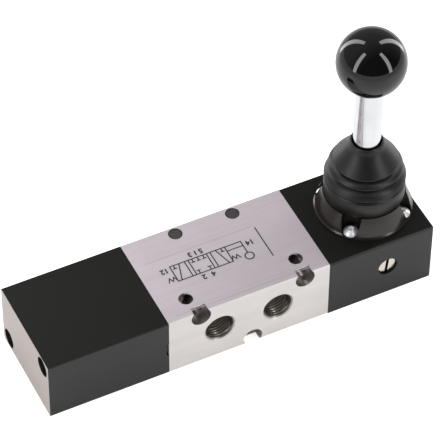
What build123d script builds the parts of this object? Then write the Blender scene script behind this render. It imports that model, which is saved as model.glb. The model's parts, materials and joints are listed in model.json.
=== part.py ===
from build123d import *

import math
import os

# Hand lever air valve, 5/3-way, G1/8: an aluminium spool valve body with a spring housing on its left end
# and a lever housing on its right end. Millimetres. The origin is the middle of the valve body's bottom
# face: +X runs along the spool towards the lever, -Y is the face with ports 2 and 4, +Z is up.

# ---- the three blocks ----
HEIGHT = 21.0
DEPTH = 32.5
BODY_LENGTH = 50.4
SPRING_HOUSING_LENGTH = 36.8
LEVER_HOUSING_LENGTH = 33.7
EDGE_BREAK = 0.3
LEVER_HOUSING_ROUND = 0.8

# ---- spool line ----
SPOOL_RAISE = 0.5
PORT_PITCH = 9.15
STACK_BORE_DIA = 11.0
SPOOL_DIA = 6.9
SPOOL_NECK_DIA = 4.2
SPOOL_LENGTH = 56.0
SEAL_SECTION = 2.0
LAND_OVERLAP = 0.375
CAGE_BORE_DIA = 7.8
CAGE_WINDOW_WIDTH = 3.0
CAGE_WINDOW_LENGTH = 4.0
SPOOL_THREAD_DIA = 3.0
SPOOL_THREAD_DEPTH = 7.0
THREAD_ENGAGED = 6.0

# ---- ports: G1/8 parallel thread ----
PORT_DIA = 8.6
PORT_DEPTH = 8.0
PORT_CHAMFER = 0.7
PORT_DRILL_DIA = 5.0

# ---- fixing holes of the valve body ----
FIXING_DIA = 3.2
FIXING_HEAD_DIA = 6.0
FIXING_HEAD_DEPTH = 2.7
FIXING_EDGE = 2.0
FIXING_SPACING = 32.6
FIXING_OFFSET_X = 1.1
DROP_HOLE_DIA = 3.2
DROP_HOLE_SPACING = 33.5
DROP_HOLE_OFFSET_X = 0.3
DROP_HOLE_Y = -9.8
DROP_SPOT_DIA = 4.2
DROP_SPOT_DEPTH = 1.8
DROP_SPOT_OUTWARD = 0.48
PLUG_HOLE_DIA = 4.2
PLUG_HOLE_DEPTH = 6.0
PLUG_SPACING = 18.1
PLUG_Y = 13.5
PLUG_LENGTH = 5.0
PLUG_RECESS = 0.15

# ---- screws that hold the housings to the body ----
HOUSING_SCREW_DIA = 3.0
HOUSING_SCREW_HEAD_DIA = 5.5
HOUSING_SCREW_HEAD_HEIGHT = 3.0
HOUSING_SCREW_KEY = 2.5
HOUSING_SCREW_Y = 12.2
HOUSING_SCREW_RISE = 7.0
HOUSING_SCREW_WELL_DIA = 6.0
SPRING_SIDE_WELL_DEPTH = 20.0
LEVER_SIDE_WELL_DEPTH = 3.2
TAPPED_DEPTH = 4.6

# ---- spring centring unit ----
CHAMBER_DIA = 14.0
CHAMBER_END_WALL = 4.0
GUIDE_RING_THICKNESS = 2.0
GUIDE_RING_BORE_DIA = 7.6
STEM_DIA = 5.0
STEM_SEAT_DIA = 3.6
COLLAR_DIA = 13.0
COLLAR_THICKNESS = 2.5
SPRING_WIRE_DIA = 1.2
SPRING_MEAN_DIA = 10.4
SPRING_TURNS = 4.5
CIRCLIP_THICKNESS = 0.6
CIRCLIP_DIA = 6.6
VENT_WIDTH = 0.75
VENT_HEIGHT = 4.6
VENT_DROP = 0.9

# ---- lever ----
LEVER_X = 44.3
PIVOT_RISE = 3.0
LEVER_ANGLE = 12.0
ROD_DIA = 8.0
ROD_SHANK_DIA = 6.0
TONGUE_THICKNESS = 3.0
TONGUE_BELOW_PIN = 3.0
FORK_SLOT_ABOVE_PIN = 2.2
DRIVE_PIN_DIA = 3.0
DRIVE_PIN_LENGTH = 8.4
YOKE_DIA = 9.0
YOKE_END_X = 51.0
PIVOT_BALL_DIA = 14.0
SEAT_RING_DIA = 18.0
SEAT_RING_THICKNESS = 2.8
LEVER_BORE_END_WALL = 2.7
ACCESS_PLUG_DIA = 6.0
ACCESS_PLUG_LENGTH = 5.0
ACCESS_PLUG_RECESS = 0.7
ACCESS_SLOT_WIDTH = 0.9
ACCESS_SLOT_DEPTH = 1.1
ACCESS_SLOT_TURN = 6.0

# ---- boot flange ----
FLANGE_DIA = 28.6
FLANGE_RIM_HEIGHT = 1.5
FLANGE_SHOULDER_DIA = 24.0
FLANGE_SHOULDER_RISE = 7.2
FLANGE_NECK_DIA = 19.4
FLANGE_NECK_RISE = 10.8
FLANGE_MOUTH_DIA = 10.6
FLANGE_BEAD = 0.35
FLANGE_SCREW_OFFSET = 8.3
FLANGE_SCREW_DIA = 2.5
FLANGE_SCREW_HEAD_DIA = 4.5
FLANGE_SCREW_HEAD_HEIGHT = 1.35
FLANGE_SCREW_KEY = 1.5
FLANGE_SCREW_DEPTH = 7.0
FLANGE_SPOT_DIA = 5.8
FLANGE_SPOT_RISE = 0.9

# ---- rubber boot: heights are measured from the blocks' top face ----
BOOT_TOP_RISE = 26.5
BOOT_TOP_THICKNESS = 1.2
BOOT_COLLAR_DIA = 23.4
BOOT_COLLAR_RISE = 13.2
BOOT_PLEATS = [(15.0, 23.2), (17.9, 21.3), (20.4, 18.8)]
BOOT_GROOVE_DROP = 1.3
BOOT_GROOVE_DEPTH = 1.3
BOOT_WALL = 1.0
BOOT_TOP_DEPTH = 2.5

# ---- knob ----
KNOB_DIA = 20.0
KNOB_CENTRE_RISE = 58.0
KNOB_FLAT_DROP = 8.0
INSERT_DIA = 8.0
INSERT_LENGTH = 10.0
STUD_DIA = 5.0
STUD_LENGTH = 8.0

# ---- clearances ----
SLIDE_GAP = 0.05
ROUND_GAP = 0.05
SPRING_END_GAP = 0.1
SOFT_GAP = 0.3
FORK_GAP = 0.1
SWING_GAP = 0.6
BALL_GAP = 1.25

# ---- worked out ----
BODY_LEFT = -BODY_LENGTH / 2
BODY_RIGHT = BODY_LENGTH / 2
SPRING_END = BODY_LEFT - SPRING_HOUSING_LENGTH
LEVER_END = BODY_RIGHT + LEVER_HOUSING_LENGTH
FRONT = -DEPTH / 2
BACK = DEPTH / 2
CAGE_LENGTH = PORT_PITCH - SEAL_SECTION
STACK_HALF = 2.5 * PORT_PITCH + SEAL_SECTION / 2
HOUSING_SCREW_PLACES = [
    (-HOUSING_SCREW_Y, HEIGHT / 2 + HOUSING_SCREW_RISE),
    (HOUSING_SCREW_Y, HEIGHT / 2 - HOUSING_SCREW_RISE),
]
FLANGE_SCREW_PLACES = [
    (LEVER_X + side_x * FLANGE_SCREW_OFFSET, side_y * FLANGE_SCREW_OFFSET)
    for side_x in (-1, 1)
    for side_y in (-1, 1)
]
SPOOL_Z = HEIGHT / 2 + SPOOL_RAISE
PIVOT_Z = HEIGHT + PIVOT_RISE
FLANGE_SHOULDER_Z = HEIGHT + FLANGE_SHOULDER_RISE
FLANGE_NECK_TOP_Z = HEIGHT + FLANGE_NECK_RISE
FLANGE_SPOT_Z = HEIGHT + FLANGE_SPOT_RISE
KNOB_CENTRE_Z = HEIGHT + KNOB_CENTRE_RISE
SEAT_LOW_Z = HEIGHT - SEAT_RING_THICKNESS
BALL_RADIUS_AT_SEAT = math.sqrt((PIVOT_BALL_DIA / 2) ** 2 - (PIVOT_Z - SEAT_LOW_Z) ** 2)
THROAT_DIA = 2 * (BALL_RADIUS_AT_SEAT + BALL_GAP)
CHAMBER_LEFT = SPRING_END + CHAMBER_END_WALL
COLLAR_X = (CHAMBER_LEFT + BODY_LEFT - GUIDE_RING_THICKNESS) / 2
YOKE_TOP_Z = SPOOL_Z + YOKE_DIA / 2
SPOOL_STROKE = (PIVOT_Z - SPOOL_Z) * math.tan(math.radians(LEVER_ANGLE))
SWING_AT_YOKE_TOP = (PIVOT_Z - YOKE_TOP_Z) * math.sin(math.radians(LEVER_ANGLE))


def rod_x(radius, x0, x1, y=0.0, z=SPOOL_Z):
    """A cylinder along X from x0 to x1."""
    axis_plane = Plane(origin=(x0, y, z), x_dir=(0, 1, 0), z_dir=(1, 0, 0))
    return extrude(axis_plane * Circle(radius), amount=x1 - x0)


def rod_y(radius, y0, y1, x, z=SPOOL_Z):
    """A cylinder along Y from y0 to y1."""
    axis_plane = Plane(origin=(x, y0, z), x_dir=(1, 0, 0), z_dir=(0, 1, 0))
    return extrude(axis_plane * Circle(radius), amount=y1 - y0)


def rod_z(radius, z0, z1, x, y=0.0):
    """A cylinder along Z from z0 to z1."""
    return extrude(Plane(origin=(x, y, z0)) * Circle(radius), amount=z1 - z0)


def block(x0, x1, y0, y1, z0, z1):
    """A box between two corners."""
    middle = ((x0 + x1) / 2, (y0 + y1) / 2, (z0 + z1) / 2)
    return Pos(*middle) * Box(x1 - x0, y1 - y0, z1 - z0)


def turned_x(points):
    """A solid turned about the spool axis from (x, radius) points."""
    outline = make_face(Polyline(*[(x, 0, SPOOL_Z + radius) for x, radius in points], close=True))
    return revolve(outline, Axis((0, 0, SPOOL_Z), (1, 0, 0)))


def turned_lever(outline):
    """A solid turned about the upright lever axis from a face in the XZ plane."""
    return revolve(outline, Axis((LEVER_X, 0, 0), (0, 0, 1)))


def lever_outline(points):
    """A face in the XZ plane from (radius, z) points measured from the lever axis."""
    return make_face(Polyline(*[(LEVER_X + radius, 0, z) for radius, z in points], close=True))


def ring_x(outer_dia, inner_dia, x0, x1):
    """A flat ring about the spool axis."""
    return rod_x(outer_dia / 2, x0, x1) - rod_x(inner_dia / 2, x0, x1)


def edges_along(part, axis, low, high):
    """The straight edges along an axis whose middles lie in a box."""
    chosen = []
    for edge in part.edges().filter_by(axis):
        middle = edge @ 0.5
        inside = [low[i] - 0.01 <= tuple(middle)[i] <= high[i] + 0.01 for i in range(3)]
        if all(inside):
            chosen.append(edge)
    return chosen


# ---- valve body ----


def port(x, face_y, inward):
    """The tapped hole, mouth chamfer and feed drilling of one port."""
    radius = PORT_DIA / 2
    mouth_plane = Plane(origin=(x, face_y, SPOOL_Z), x_dir=(1, 0, 0), z_dir=(0, inward, 0))
    tapped = extrude(mouth_plane * Circle(radius), amount=PORT_DEPTH)
    feed = extrude(mouth_plane * Circle(PORT_DRILL_DIA / 2), amount=DEPTH / 2 - STACK_BORE_DIA / 4)
    mouth = Solid.make_cone(radius + PORT_CHAMFER, radius, PORT_CHAMFER, plane=mouth_plane)
    return tapped + feed + mouth


def fixing_hole(x, z):
    """A screw hole from the front to the back with a pocket for the head."""
    return rod_y(FIXING_DIA / 2, FRONT, BACK, x, z) + rod_y(
        FIXING_HEAD_DIA / 2, FRONT, FRONT + FIXING_HEAD_DEPTH, x, z
    )


def drop_hole(side):
    """An upright screw hole with a shallow spot drilled a little further out."""
    x = DROP_HOLE_OFFSET_X + side * DROP_HOLE_SPACING / 2
    through = rod_z(DROP_HOLE_DIA / 2, 0, HEIGHT, x, DROP_HOLE_Y)
    spot_x = x + side * DROP_SPOT_OUTWARD
    spot = rod_z(DROP_SPOT_DIA / 2, HEIGHT - DROP_SPOT_DEPTH, HEIGHT, spot_x, DROP_HOLE_Y)
    return through + spot


def make_valve_body():
    body = block(BODY_LEFT, BODY_RIGHT, FRONT, BACK, 0, HEIGHT)
    body = chamfer(body.edges().filter_by(Axis.X), EDGE_BREAK)
    body -= rod_x(STACK_BORE_DIA / 2, BODY_LEFT, BODY_RIGHT)
    for side in (-1, 1):
        body -= port(side * PORT_PITCH, FRONT, 1)
        body -= drop_hole(side)
        body -= rod_z(PLUG_HOLE_DIA / 2, HEIGHT - PLUG_HOLE_DEPTH, HEIGHT, side * PLUG_SPACING / 2, PLUG_Y)
        body -= fixing_hole(FIXING_OFFSET_X + side * FIXING_SPACING / 2, HEIGHT - FIXING_EDGE)
    body -= fixing_hole(FIXING_OFFSET_X, FIXING_EDGE)
    for step in (-2, 0, 2):
        body -= port(step * PORT_PITCH, BACK, -1)
    tap_radius = HOUSING_SCREW_DIA / 2 + ROUND_GAP
    for y, z in HOUSING_SCREW_PLACES:
        body -= rod_x(tap_radius, BODY_LEFT, BODY_LEFT + TAPPED_DEPTH, y, z)
        body -= rod_x(tap_radius, BODY_RIGHT - TAPPED_DEPTH, BODY_RIGHT, y, z)
    return body


def make_blanking_plugs():
    plugs = []
    for side in (-1, 1):
        x = side * PLUG_SPACING / 2
        top = HEIGHT - PLUG_RECESS
        plug = rod_z(PLUG_HOLE_DIA / 2 - ROUND_GAP / 2, top - PLUG_LENGTH, top, x, PLUG_Y)
        plugs.append(chamfer(plug.edges().sort_by(Axis.Z)[-1:], EDGE_BREAK))
    return Compound(children=plugs)


# ---- spool line ----


def make_spool():
    radius = SPOOL_DIA / 2
    neck = SPOOL_NECK_DIA / 2
    half = SPOOL_LENGTH / 2
    supply = PORT_PITCH / 2 - SEAL_SECTION / 2 - LAND_OVERLAP
    exhaust = 1.5 * PORT_PITCH + SEAL_SECTION / 2 + LAND_OVERLAP
    taper = (radius - neck) / 2
    neck_length = PORT_PITCH - SEAL_SECTION - 2 * LAND_OVERLAP - SPOOL_STROKE
    steps = [(-half, 0)]
    for start, end in (
        (-exhaust - neck_length, -exhaust),
        (-supply, supply),
        (exhaust, exhaust + neck_length),
    ):
        steps += [(start, radius), (start + taper, neck), (end - taper, neck), (end, radius)]
    steps.insert(1, (-half, radius))
    steps += [(half, radius), (half, 0)]
    spool = turned_x(steps)
    tap = SPOOL_THREAD_DIA / 2 + ROUND_GAP
    spool -= rod_x(tap, -half, -half + SPOOL_THREAD_DEPTH)
    spool -= rod_x(tap, half - SPOOL_THREAD_DEPTH, half)
    return spool


def make_spool_cages():
    """Five spacers that hold the seals apart, each with a window at the front and the back."""
    outer = STACK_BORE_DIA / 2 - ROUND_GAP
    half_width = CAGE_WINDOW_WIDTH / 2
    cages = []
    for step in range(-2, 3):
        middle = step * PORT_PITCH
        cage = ring_x(2 * outer, CAGE_BORE_DIA, middle - CAGE_LENGTH / 2, middle + CAGE_LENGTH / 2)
        low = middle - CAGE_WINDOW_LENGTH / 2
        high = middle + CAGE_WINDOW_LENGTH / 2
        cage -= block(low, high, -outer, outer, SPOOL_Z - half_width, SPOOL_Z + half_width)
        cages.append(cage)
    return Compound(children=cages)


def make_spool_seals():
    """Six rubber rings between the cages, round the spool."""
    outer_dia = STACK_BORE_DIA - 2 * ROUND_GAP
    inner_dia = SPOOL_DIA + 2 * SLIDE_GAP
    half = SEAL_SECTION / 2 - ROUND_GAP / 2
    middles = [(step - 2.5) * PORT_PITCH for step in range(6)]
    rings = [ring_x(outer_dia, inner_dia, middle - half, middle + half) for middle in middles]
    return Compound(children=rings)


def make_end_spacers():
    """The two rings that take up the rest of the bore beyond the outer seals."""
    outer = STACK_BORE_DIA - 2 * ROUND_GAP
    left = ring_x(outer, CAGE_BORE_DIA, BODY_LEFT, -STACK_HALF)
    right = ring_x(outer, CAGE_BORE_DIA, STACK_HALF, BODY_RIGHT)
    return Compound(children=[left, right])


# ---- spring centring unit ----


def screw_well(x_face, depth, y, z, inward):
    """The well for a housing screw's head and the clearance hole under it."""
    bottom = x_face + inward * depth
    joint = BODY_LEFT if inward > 0 else BODY_RIGHT
    head = rod_x(HOUSING_SCREW_WELL_DIA / 2, min(x_face, bottom), max(x_face, bottom), y, z)
    shank_radius = HOUSING_SCREW_DIA / 2 + ROUND_GAP
    return head + rod_x(shank_radius, min(bottom, joint), max(bottom, joint), y, z)


def make_spring_housing():
    housing = block(SPRING_END, BODY_LEFT, FRONT, BACK, 0, HEIGHT)
    housing = chamfer(housing.edges().filter_by(Axis.X), EDGE_BREAK)
    housing -= rod_x(CHAMBER_DIA / 2, CHAMBER_LEFT, BODY_LEFT)
    for y, z in HOUSING_SCREW_PLACES:
        housing -= screw_well(SPRING_END, SPRING_SIDE_WELL_DEPTH, y, z, 1)
    vent_low = SPOOL_Z - VENT_DROP - VENT_HEIGHT / 2
    housing -= block(BODY_LEFT - VENT_WIDTH, BODY_LEFT, FRONT, 0, vent_low, vent_low + VENT_HEIGHT)
    return housing


def make_guide_ring():
    """The ring against the body that the inner spring rests on."""
    outer = CHAMBER_DIA - 2 * ROUND_GAP
    return ring_x(outer, GUIDE_RING_BORE_DIA, BODY_LEFT - GUIDE_RING_THICKNESS, BODY_LEFT)


def make_centring_stem():
    """The stem screwed into the spool, with a seat for the collar and a groove for its clip."""
    spool_end = -SPOOL_LENGTH / 2
    collar_right = COLLAR_X + COLLAR_THICKNESS / 2
    collar_left = COLLAR_X - COLLAR_THICKNESS / 2
    clip_left = collar_left - CIRCLIP_THICKNESS
    tip = clip_left - 1.0
    groove = STEM_SEAT_DIA / 2 - 0.4
    return turned_x(
        [
            (spool_end + THREAD_ENGAGED, 0),
            (spool_end + THREAD_ENGAGED, SPOOL_THREAD_DIA / 2),
            (spool_end, SPOOL_THREAD_DIA / 2),
            (spool_end, STEM_DIA / 2),
            (collar_right, STEM_DIA / 2),
            (collar_right, STEM_SEAT_DIA / 2),
            (collar_left, STEM_SEAT_DIA / 2),
            (collar_left, groove),
            (clip_left, groove),
            (clip_left, STEM_SEAT_DIA / 2),
            (tip + 0.3, STEM_SEAT_DIA / 2),
            (tip, STEM_SEAT_DIA / 2 - 0.3),
            (tip, 0),
        ]
    )


def make_spring_collar():
    """The collar that both springs push on, turned with a shallow spigot inside each spring."""
    half = COLLAR_THICKNESS / 2
    spigot = SPRING_MEAN_DIA / 2 - SPRING_WIRE_DIA / 2 - SOFT_GAP
    flat = half - 0.6
    bore = STEM_SEAT_DIA / 2 + ROUND_GAP / 2
    return turned_x(
        [
            (COLLAR_X - half, bore),
            (COLLAR_X - half, spigot),
            (COLLAR_X - flat, spigot),
            (COLLAR_X - flat, COLLAR_DIA / 2),
            (COLLAR_X + flat, COLLAR_DIA / 2),
            (COLLAR_X + flat, spigot),
            (COLLAR_X + half, spigot),
            (COLLAR_X + half, bore),
        ]
    )


def make_stem_clip():
    """The open circlip that keeps the collar on the stem."""
    right = COLLAR_X - COLLAR_THICKNESS / 2
    left = right - CIRCLIP_THICKNESS
    clip = ring_x(CIRCLIP_DIA, STEM_SEAT_DIA - 0.8 + 2 * ROUND_GAP, left, right)
    gap = block(left, right, -0.9, 0.9, SPOOL_Z, SPOOL_Z + CIRCLIP_DIA)
    return clip - gap


def coil_spring(x_low, x_high):
    """A round-wire compression spring about the spool axis, its end coils inside the given span."""
    first = x_low + SPRING_END_GAP + SPRING_WIRE_DIA / 2
    last = x_high - SPRING_END_GAP - SPRING_WIRE_DIA / 2
    height = last - first
    path = Helix(height / SPRING_TURNS, height, SPRING_MEAN_DIA / 2)
    section_plane = Plane(origin=path @ 0, z_dir=path % 0)
    wire = sweep(section_plane * RegularPolygon(SPRING_WIRE_DIA / 2, 6), path=path, is_frenet=True)
    lay_down = Plane(origin=(first, 0, SPOOL_Z), x_dir=(0, 1, 0), z_dir=(1, 0, 0))
    return lay_down * wire


def make_inner_spring():
    flat = COLLAR_THICKNESS / 2 - 0.6
    return coil_spring(COLLAR_X + flat, BODY_LEFT - GUIDE_RING_THICKNESS)


def make_outer_spring():
    flat = COLLAR_THICKNESS / 2 - 0.6
    return coil_spring(CHAMBER_LEFT, COLLAR_X - flat)


# ---- screws ----


def cap_screw(x_under_head, inward, tip_x, y, z):
    """A socket cap screw along X with its head outside x_under_head."""
    head_end = x_under_head - inward * HOUSING_SCREW_HEAD_HEIGHT
    low, high = sorted((x_under_head, head_end))
    head = rod_x(HOUSING_SCREW_HEAD_DIA / 2, low, high, y, z)
    low, high = sorted((x_under_head, tip_x))
    shank = rod_x(HOUSING_SCREW_DIA / 2, low, high, y, z)
    key_plane = Plane(origin=(head_end, y, z), x_dir=(0, 1, 0), z_dir=(inward, 0, 0))
    key_radius = HOUSING_SCREW_KEY / math.sqrt(3)
    key = extrude(key_plane * RegularPolygon(key_radius, 6), amount=HOUSING_SCREW_HEAD_HEIGHT / 2)
    return head + shank - key


def make_spring_housing_screws():
    under_head = SPRING_END + SPRING_SIDE_WELL_DEPTH
    tip = BODY_LEFT + TAPPED_DEPTH - SOFT_GAP
    return Compound(children=[cap_screw(under_head, 1, tip, y, z) for y, z in HOUSING_SCREW_PLACES])


def make_lever_housing_screws():
    under_head = LEVER_END - LEVER_SIDE_WELL_DEPTH
    tip = BODY_RIGHT - TAPPED_DEPTH + SOFT_GAP
    return Compound(children=[cap_screw(under_head, -1, tip, y, z) for y, z in HOUSING_SCREW_PLACES])


def make_flange_screws():
    screws = []
    for x, y in FLANGE_SCREW_PLACES:
        top = FLANGE_SPOT_Z + FLANGE_SCREW_HEAD_HEIGHT
        tip = HEIGHT - FLANGE_SCREW_DEPTH
        head = rod_z(FLANGE_SCREW_HEAD_DIA / 2, FLANGE_SPOT_Z, top, x, y)
        head = chamfer(head.edges().sort_by(Axis.Z)[-1:], FLANGE_SCREW_HEAD_HEIGHT / 2)
        shank = rod_z(FLANGE_SCREW_DIA / 2, tip, FLANGE_SPOT_Z, x, y)
        key_face = Plane(origin=(x, y, top)) * RegularPolygon(FLANGE_SCREW_KEY / math.sqrt(3), 6)
        screws.append(head + shank - extrude(key_face, amount=-FLANGE_SCREW_HEAD_HEIGHT * 0.6))
    return Compound(children=screws)


# ---- lever housing ----


def make_lever_housing():
    housing = block(BODY_RIGHT, LEVER_END, FRONT, BACK, 0, HEIGHT)
    rounded = edges_along(housing, Axis.X, (BODY_RIGHT, FRONT, HEIGHT), (LEVER_END, BACK, HEIGHT))
    rounded += edges_along(housing, Axis.Y, (LEVER_END, FRONT, HEIGHT), (LEVER_END, BACK, HEIGHT))
    rounded += edges_along(housing, Axis.Z, (LEVER_END, FRONT, 0), (LEVER_END, BACK, HEIGHT))
    housing = fillet(rounded, LEVER_HOUSING_ROUND)
    bore_radius = YOKE_DIA / 2 + SLIDE_GAP
    housing -= rod_x(bore_radius, BODY_RIGHT, LEVER_END - LEVER_BORE_END_WALL)
    housing -= rod_z(THROAT_DIA / 2, SPOOL_Z, HEIGHT, LEVER_X)
    housing -= rod_z(SEAT_RING_DIA / 2 + ROUND_GAP, SEAT_LOW_Z, HEIGHT, LEVER_X)
    housing -= rod_y(ACCESS_PLUG_DIA / 2 + ROUND_GAP, FRONT, 0, LEVER_X)
    for x, y in FLANGE_SCREW_PLACES:
        tip = HEIGHT - FLANGE_SCREW_DEPTH - SOFT_GAP
        housing -= rod_z(FLANGE_SCREW_DIA / 2 + ROUND_GAP, tip, HEIGHT, x, y)
    for y, z in HOUSING_SCREW_PLACES:
        housing -= screw_well(LEVER_END, LEVER_SIDE_WELL_DEPTH, y, z, -1)
    return housing


def make_access_plug():
    """The slotted plug that closes the assembly hole over the drive pin."""
    face = FRONT + ACCESS_PLUG_RECESS
    plug = rod_y(ACCESS_PLUG_DIA / 2, face, face + ACCESS_PLUG_LENGTH, LEVER_X)
    plug = chamfer(plug.edges().sort_by(Axis.Y)[:1], EDGE_BREAK)
    slot = block(
        LEVER_X - ACCESS_SLOT_WIDTH / 2,
        LEVER_X + ACCESS_SLOT_WIDTH / 2,
        face,
        face + ACCESS_SLOT_DEPTH,
        SPOOL_Z - ACCESS_PLUG_DIA / 2,
        SPOOL_Z + ACCESS_PLUG_DIA / 2,
    )
    return plug - slot.rotate(Axis((LEVER_X, 0, SPOOL_Z), (0, 1, 0)), ACCESS_SLOT_TURN)


def make_ball_seat():
    """The plastic ring under the pivot ball, with a ball-shaped seat."""
    ring = rod_z(SEAT_RING_DIA / 2, SEAT_LOW_Z, HEIGHT, LEVER_X)
    ring -= rod_z(THROAT_DIA / 2, SEAT_LOW_Z, HEIGHT, LEVER_X)
    return ring - Pos(LEVER_X, 0, PIVOT_Z) * Sphere(PIVOT_BALL_DIA / 2 + SLIDE_GAP)


def make_boot_flange():
    """The round flange that caps the pivot ball and carries the boot on its neck."""
    rim_top = HEIGHT + FLANGE_RIM_HEIGHT
    rim = FLANGE_DIA / 2
    shoulder = FLANGE_SHOULDER_DIA / 2
    neck = FLANGE_NECK_DIA / 2
    bead = neck + FLANGE_BEAD
    bead_low = FLANGE_NECK_TOP_Z - 1.4
    swell = (rim - 0.9, (rim_top + FLANGE_SHOULDER_Z) / 2 - 1.0)
    flank = ThreePointArc(
        (LEVER_X + rim - 0.4, 0, rim_top),
        (LEVER_X + swell[0], 0, swell[1]),
        (LEVER_X + shoulder, 0, FLANGE_SHOULDER_Z),
    )
    rest = Polyline(
        *[
            (LEVER_X + radius, 0, z)
            for radius, z in (
                (shoulder, FLANGE_SHOULDER_Z),
                (neck, FLANGE_SHOULDER_Z),
                (neck, bead_low),
                (bead, bead_low + 0.5),
                (neck, FLANGE_NECK_TOP_Z),
                (0, FLANGE_NECK_TOP_Z),
                (0, HEIGHT),
                (rim, HEIGHT),
                (rim, rim_top - 0.4),
                (rim - 0.4, rim_top),
            )
        ]
    )
    flange = turned_lever(make_face(Wire([flank, *rest.edges()])))
    cavity = PIVOT_BALL_DIA / 2 + SLIDE_GAP
    flange -= rod_z(cavity, HEIGHT, PIVOT_Z, LEVER_X)
    flange -= Pos(LEVER_X, 0, PIVOT_Z) * Sphere(cavity)
    swing = math.tan(math.radians(LEVER_ANGLE))
    mouth_low = FLANGE_MOUTH_DIA / 2
    mouth_high = ROD_DIA / 2 + (FLANGE_NECK_TOP_Z - PIVOT_Z) * swing + 1.2
    mouth = lever_outline(
        [
            (0, PIVOT_Z),
            (mouth_low, PIVOT_Z),
            (mouth_low, FLANGE_SHOULDER_Z - 0.8),
            (mouth_high, FLANGE_NECK_TOP_Z),
            (0, FLANGE_NECK_TOP_Z),
        ]
    )
    flange -= turned_lever(mouth)
    for x, y in FLANGE_SCREW_PLACES:
        flange -= rod_z(FLANGE_SCREW_DIA / 2 + ROUND_GAP, HEIGHT, FLANGE_SPOT_Z, x, y)
        flange -= rod_z(FLANGE_SPOT_DIA / 2, FLANGE_SPOT_Z, FLANGE_NECK_TOP_Z, x, y)
    return flange


# ---- lever ----


def make_lever_rod():
    """The bright rod: a stud for the knob, a shank under the ball and a forked tongue at the foot."""
    ball = PIVOT_BALL_DIA / 2
    radius = ROD_DIA / 2
    shank = ROD_SHANK_DIA / 2
    shoulder_z = PIVOT_Z - math.sqrt(ball**2 - radius**2)
    knob_flat_z = KNOB_CENTRE_Z - KNOB_FLAT_DROP
    shank_low = YOKE_TOP_Z + SWING_GAP
    turned = turned_lever(
        lever_outline(
            [
                (0, shank_low),
                (shank, shank_low),
                (shank, shoulder_z),
                (radius, shoulder_z),
                (radius, knob_flat_z),
                (STUD_DIA / 2, knob_flat_z),
                (STUD_DIA / 2, knob_flat_z + STUD_LENGTH),
                (0, knob_flat_z + STUD_LENGTH),
            ]
        )
    )
    half = TONGUE_THICKNESS / 2
    tongue_low = SPOOL_Z - TONGUE_BELOW_PIN
    tongue = block(LEVER_X - shank, LEVER_X + shank, -half, half, tongue_low, shank_low)
    tongue = fillet(tongue.edges().filter_by(Axis.Y).group_by(Axis.Z)[0], 0.6)
    gap = DRIVE_PIN_DIA / 2 + FORK_GAP
    slot_high = SPOOL_Z + FORK_SLOT_ABOVE_PIN
    slot = block(LEVER_X - gap, LEVER_X + gap, -half, half, tongue_low, slot_high)
    return turned + tongue - slot


def make_pivot_ball():
    ball = Pos(LEVER_X, 0, PIVOT_Z) * Sphere(PIVOT_BALL_DIA / 2)
    return ball - rod_z(ROD_DIA / 2, PIVOT_Z - PIVOT_BALL_DIA, PIVOT_Z + PIVOT_BALL_DIA, LEVER_X)


def make_drive_yoke():
    """The slotted bar on the spool's end that takes the lever's fork."""
    radius = YOKE_DIA / 2
    spool_end = SPOOL_LENGTH / 2
    yoke = turned_x(
        [
            (spool_end - THREAD_ENGAGED, 0),
            (spool_end - THREAD_ENGAGED, SPOOL_THREAD_DIA / 2),
            (spool_end, SPOOL_THREAD_DIA / 2),
            (spool_end, SPOOL_DIA / 2),
            (spool_end + 4.0, SPOOL_DIA / 2),
            (spool_end + 5.0, radius),
            (YOKE_END_X - 0.5, radius),
            (YOKE_END_X, radius - 0.5),
            (YOKE_END_X, 0),
        ]
    )
    half_width = TONGUE_THICKNESS / 2 + FORK_GAP
    half_length = ROD_SHANK_DIA / 2 + SPOOL_STROKE - SWING_AT_YOKE_TOP + SWING_GAP
    yoke -= block(
        LEVER_X - half_length,
        LEVER_X + half_length,
        -half_width,
        half_width,
        SPOOL_Z - radius,
        SPOOL_Z + radius,
    )
    return yoke - rod_y(DRIVE_PIN_DIA / 2, -radius, radius, LEVER_X)


def make_drive_pin():
    pin = rod_y(DRIVE_PIN_DIA / 2, -DRIVE_PIN_LENGTH / 2, DRIVE_PIN_LENGTH / 2, LEVER_X)
    return chamfer(pin.edges().filter_by(GeomType.CIRCLE), EDGE_BREAK)


def boot_outside(mouth):
    """Half of the boot's outline: collar, three pleats and the slope up to the rod."""
    base = FLANGE_SHOULDER_Z + ROUND_GAP
    top = HEIGHT + BOOT_TOP_RISE
    collar = BOOT_COLLAR_DIA / 2
    points = [(mouth, base), (collar, base), (collar, HEIGHT + BOOT_COLLAR_RISE)]
    for rise, dia in BOOT_PLEATS:
        crest_z = HEIGHT + rise
        points += [(dia / 2 - BOOT_GROOVE_DEPTH, crest_z - BOOT_GROOVE_DROP), (dia / 2, crest_z)]
    points += [(ROD_DIA / 2 + BOOT_TOP_THICKNESS, top), (mouth, top)]
    return points


def boot_inside(mouth):
    """Half of the hollow inside: a plain cone that clears the rod at both ends of its swing."""
    wall = BOOT_GROOVE_DEPTH + BOOT_WALL
    base = FLANGE_SHOULDER_Z + ROUND_GAP
    first_rise, first_dia = BOOT_PLEATS[0]
    last_rise, last_dia = BOOT_PLEATS[-1]
    return [
        (mouth, base),
        (BOOT_COLLAR_DIA / 2 - BOOT_WALL, base),
        (BOOT_COLLAR_DIA / 2 - BOOT_WALL, FLANGE_NECK_TOP_Z),
        (first_dia / 2 - wall, HEIGHT + first_rise),
        (last_dia / 2 - wall, HEIGHT + last_rise),
        (mouth, HEIGHT + BOOT_TOP_RISE - BOOT_TOP_DEPTH),
    ]


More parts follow.
